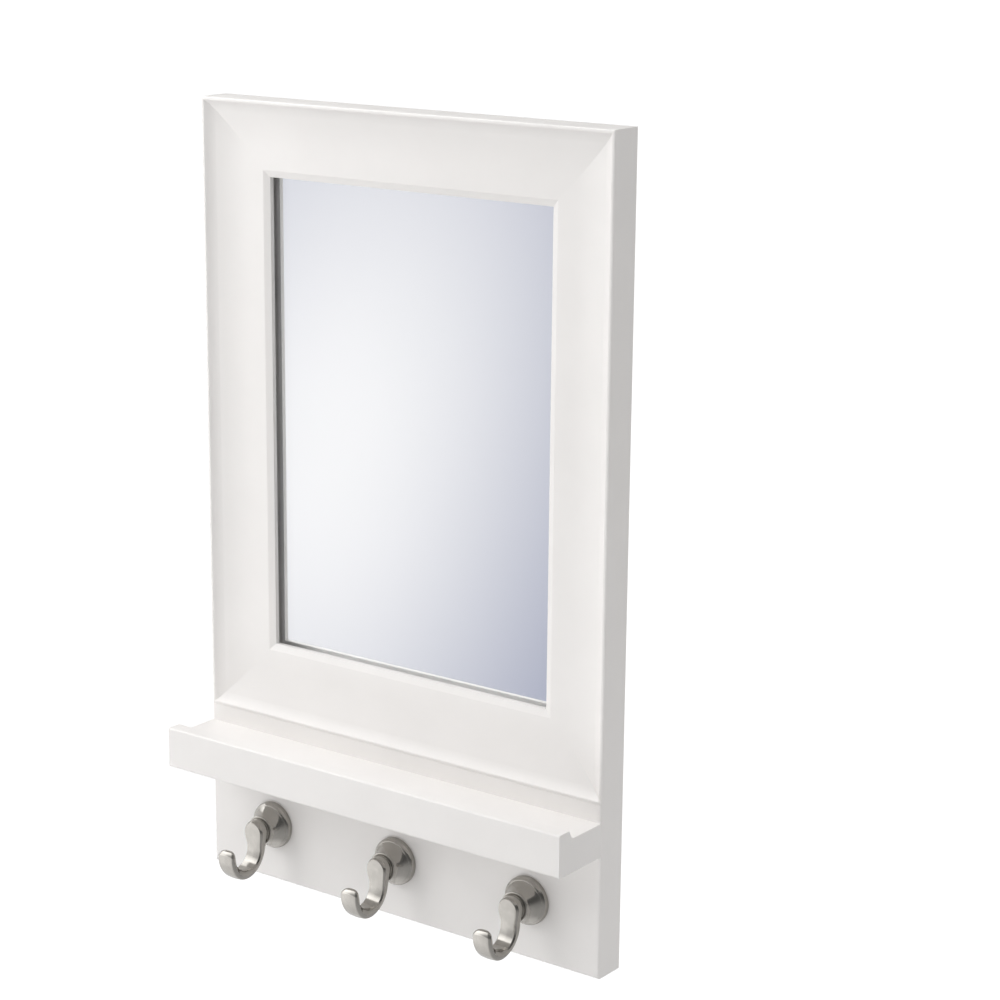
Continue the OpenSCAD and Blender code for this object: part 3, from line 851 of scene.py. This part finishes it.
# The studio as metal mirrors it, in parts that add up. Each part has a way and grey levels at stops
# from 0 behind it to 1 ahead.
BELOW_TO_ABOVE = (
    (0, 0.62), (0.25, 0.52), (0.38, 0.46), (0.48, 0.3), (0.55, 0.16), (0.68, 0.12), (1, 0.3),
)
PALE_FLOOR = ((0.75, 0), (0.93, 0.38))
PALE_FRONT_LEFT = ((0.65, 0), (0.83, 0.3), (0.949, 0.74), (0.985, 1.2))
KEY_SOFT_BOX = ((0.854, 0), (0.985, 2.0))
METAL_STUDIO = (
    (toward(0, 90, 1), BELOW_TO_ABOVE),
    (toward(-75, -50, 1), PALE_FLOOR),
    (toward(-55, 5, 1), PALE_FRONT_LEFT),
    (toward(-85, 50, 1), KEY_SOFT_BOX),
)

# Lamps: azimuth and elevation in degrees, distance and width in metres, power in watts
LAMPS = {
    "key": (-58, 28, 0.62, 0.45, 2.16),
    "low_fill": (-20, -35, 1.1, 0.7, 3.55),
    "top_fill": (0, 85, 1.0, 0.7, 3.6),
    "right_fill": (70, 15, 1.2, 0.7, 2.33),
    "side_low": (90, -33, 0.3, 0.1, 0.032),
    "back_fill": (180, 3, 1.2, 0.7, 3.0),
}

# The card that the mirror shows from the photograph's side: a soft pale blob on grey lavender. The
# reach is the blob's half width and half height, the card's margin is a factor of the reach, and the
# fade is the share of the card that it fades out over.
CARD_AZIMUTH = -38.07
CARD_DISTANCE = 1.5
CARD_PLACE = (-0.073, -0.326)
CARD_ROLL = -13.7
CARD_REACH = (0.358, 0.712)
CARD_MARGIN = 1.5
CARD_FADE = 0.45
CARD_HIGH = (0.955, 0.945, 0.96)
CARD_LOW = (0.32, 0.342, 0.468)

# Camera: the photograph's place, direction and field of view
CAMERA_PLACE = Vector((0.54106, -0.69650, 0.23260))
CAMERA_DIRECTION = Vector((-0.5966, 0.7594, -0.2596))
CAMERA_LENS = 95.0
CAMERA_SHIFT = (0.095, 0.036)


def stage_square(name, half, height, material):
    """A level square of the studio round the origin."""
    mesh = bpy.data.meshes.new(name)
    corners = [(x * half, y * half, height) for x, y in ((-1, -1), (1, -1), (1, 1), (-1, 1))]
    mesh.from_pydata(corners, [], [[0, 1, 2, 3]])
    square = bpy.data.objects.new(name, mesh)
    bpy.context.scene.collection.objects.link(square)
    mesh.materials.append(material)
    return square


def make_floor():
    """A plain white floor far below, as under something hung on a wall.

    It looks white and keeps the shadow. Metal and glass see the studio through it."""
    material, tree, surface = bare_material("white_floor")
    matt = tree.nodes.new("ShaderNodeBsdfDiffuse")
    matt.inputs["Color"].default_value = (*FLOOR_COLOUR, 1)
    glow = tree.nodes.new("ShaderNodeEmission")
    seen = tree.nodes.new("ShaderNodeLightPath").outputs["Is Camera Ray"]
    tree.links.new(math_node(tree, "MULTIPLY", seen, FLOOR_GLOW), glow.inputs["Strength"])
    white = added(tree, matt.outputs[0], glow.outputs[0])
    clear = tree.nodes.new("ShaderNodeBsdfTransparent").outputs[0]
    tree.links.new(mixed(tree, sent_on(tree), white, clear), surface)
    stage_square("floor", FLOOR_HALF, FLOOR_Z, material)


def world_part(tree, way, axis, levels):
    """Grey light that changes along an axis, from stop 0 behind it to stop 1 ahead."""
    facing = tree.nodes.new("ShaderNodeVectorMath")
    facing.operation = "DOT_PRODUCT"
    tree.links.new(way, facing.inputs[0])
    facing.inputs[1].default_value = axis
    share = spread(tree, facing.outputs["Value"], 0, 1, -1, 1)
    stops = [(position, (level, level, level)) for position, level in levels]
    background = tree.nodes.new("ShaderNodeBackground")
    tree.links.new(ramp(tree, share, stops), background.inputs["Color"])
    return background.outputs[0]


def make_world():
    """White to the camera and soft even light on the object.

    Metal mirrors a studio that is pale at the front left and below and grey above, and the mirror a
    blurred lavender one."""
    world = bpy.data.worlds.new("studio")
    bpy.context.scene.world = world
    world.use_nodes = True
    tree = world.node_tree
    plain = tree.nodes["Background"]
    plain.inputs["Color"].default_value = (1, 1, 1, 1)
    path = tree.nodes.new("ShaderNodeLightPath")
    lifted = math_node(tree, "MULTIPLY", path.outputs["Is Camera Ray"], 1 - WORLD_LEVEL)
    tree.links.new(math_node(tree, "ADD", lifted, WORLD_LEVEL), plain.inputs["Strength"])
    way = tree.nodes.new("ShaderNodeTexCoord").outputs["Generated"]
    for_metal, *more = (world_part(tree, way, axis, levels) for axis, levels in METAL_STUDIO)
    for part_shader in more:
        for_metal = added(tree, for_metal, part_shader)
    for_mirror = tree.nodes.new("ShaderNodeBackground")
    lavender = [(0.3, (0.46, 0.49, 0.58)), (0.62, (0.88, 0.89, 0.95))]
    tree.links.new(ramp(tree, noise(tree, way, 2.6, 0.0), lavender), for_mirror.inputs["Color"])
    mirrored = mixed(tree, path.outputs["Is Transmission Ray"], for_metal, for_mirror.outputs[0])
    shown = mixed(tree, sent_on(tree), plain.outputs[0], mirrored)
    tree.links.new(shown, tree.nodes["World Output"].inputs["Surface"])


def make_card():
    """A card with a radial gradient that fades out at its edge. Only the mirror shows it."""
    material, tree, surface = bare_material("mirror_card")
    mapping = tree.nodes.new("ShaderNodeMapping")
    mapping.inputs["Scale"].default_value = (*(1 / reach / CARD_MARGIN for reach in CARD_REACH), 0)
    tree.links.new(tree.nodes.new("ShaderNodeTexCoord").outputs["Object"], mapping.inputs["Vector"])
    radial = tree.nodes.new("ShaderNodeTexGradient")
    radial.gradient_type = "SPHERICAL"
    tree.links.new(mapping.outputs["Vector"], radial.inputs["Vector"])
    inward = radial.outputs["Fac"]
    brightness = spread(tree, inward, 0, 1, 1 - 1 / CARD_MARGIN, 1, "SMOOTHSTEP")
    presence = spread(tree, inward, 0, 1, 0, CARD_FADE, "SMOOTHSTEP")
    glow = tree.nodes.new("ShaderNodeEmission")
    tree.links.new(blend(tree, brightness, CARD_LOW, CARD_HIGH), glow.inputs["Color"])
    clear = tree.nodes.new("ShaderNodeBsdfTransparent").outputs[0]
    tree.links.new(mixed(tree, presence, clear, glow.outputs[0]), surface)
    card = stage_square("mirror_card", CARD_MARGIN * max(CARD_REACH), 0.0, material)
    away = toward(CARD_AZIMUTH, 0, 1)
    up = Vector((0, 0, 1))
    side = up.cross(away)
    card.location = away * CARD_DISTANCE + side * CARD_PLACE[0] + up * CARD_PLACE[1]
    card.rotation_mode = "QUATERNION"
    axes = Matrix((side, up, away)).transposed() @ Matrix.Rotation(math.radians(CARD_ROLL), 3, "Z")
    card.rotation_quaternion = axes.to_quaternion()
    card.visible_camera = False
    card.visible_diffuse = False
    card.visible_glossy = False
    card.visible_shadow = False


def area_lamp(name, azimuth, elevation, distance, width, power):
    """A square soft box aimed at the object. Metal and glass show the world's stand-ins in its place."""
    place = toward(azimuth, elevation, distance)
    lamp = bpy.data.lights.new(name, "AREA")
    lamp.shape = "SQUARE"
    lamp.size = width
    lamp.energy = power
    holder = bpy.data.objects.new(name, lamp)
    bpy.context.scene.collection.objects.link(holder)
    holder.location = place
    holder.rotation_mode = "QUATERNION"
    holder.rotation_quaternion = (-place).to_track_quat("-Z", "Y")
    holder.visible_camera = False
    holder.visible_glossy = False
    holder.visible_transmission = False


def make_camera():
    data = bpy.data.cameras.new("camera")
    data.sensor_width = 36.0
    data.lens = CAMERA_LENS
    data.shift_x, data.shift_y = CAMERA_SHIFT
    data.clip_start = 0.01
    data.clip_end = 100.0
    camera = bpy.data.objects.new("camera", data)
    bpy.context.scene.collection.objects.link(camera)
    camera.location = CAMERA_PLACE
    camera.rotation_mode = "QUATERNION"
    camera.rotation_quaternion = CAMERA_DIRECTION.to_track_quat("-Z", "Y")
    bpy.context.scene.camera = camera


make_floor()
make_world()
make_card()
for lamp_name, lamp_setting in LAMPS.items():
    area_lamp(lamp_name, *lamp_setting)
make_camera()
bpy.context.scene.view_settings.view_transform = "Standard"
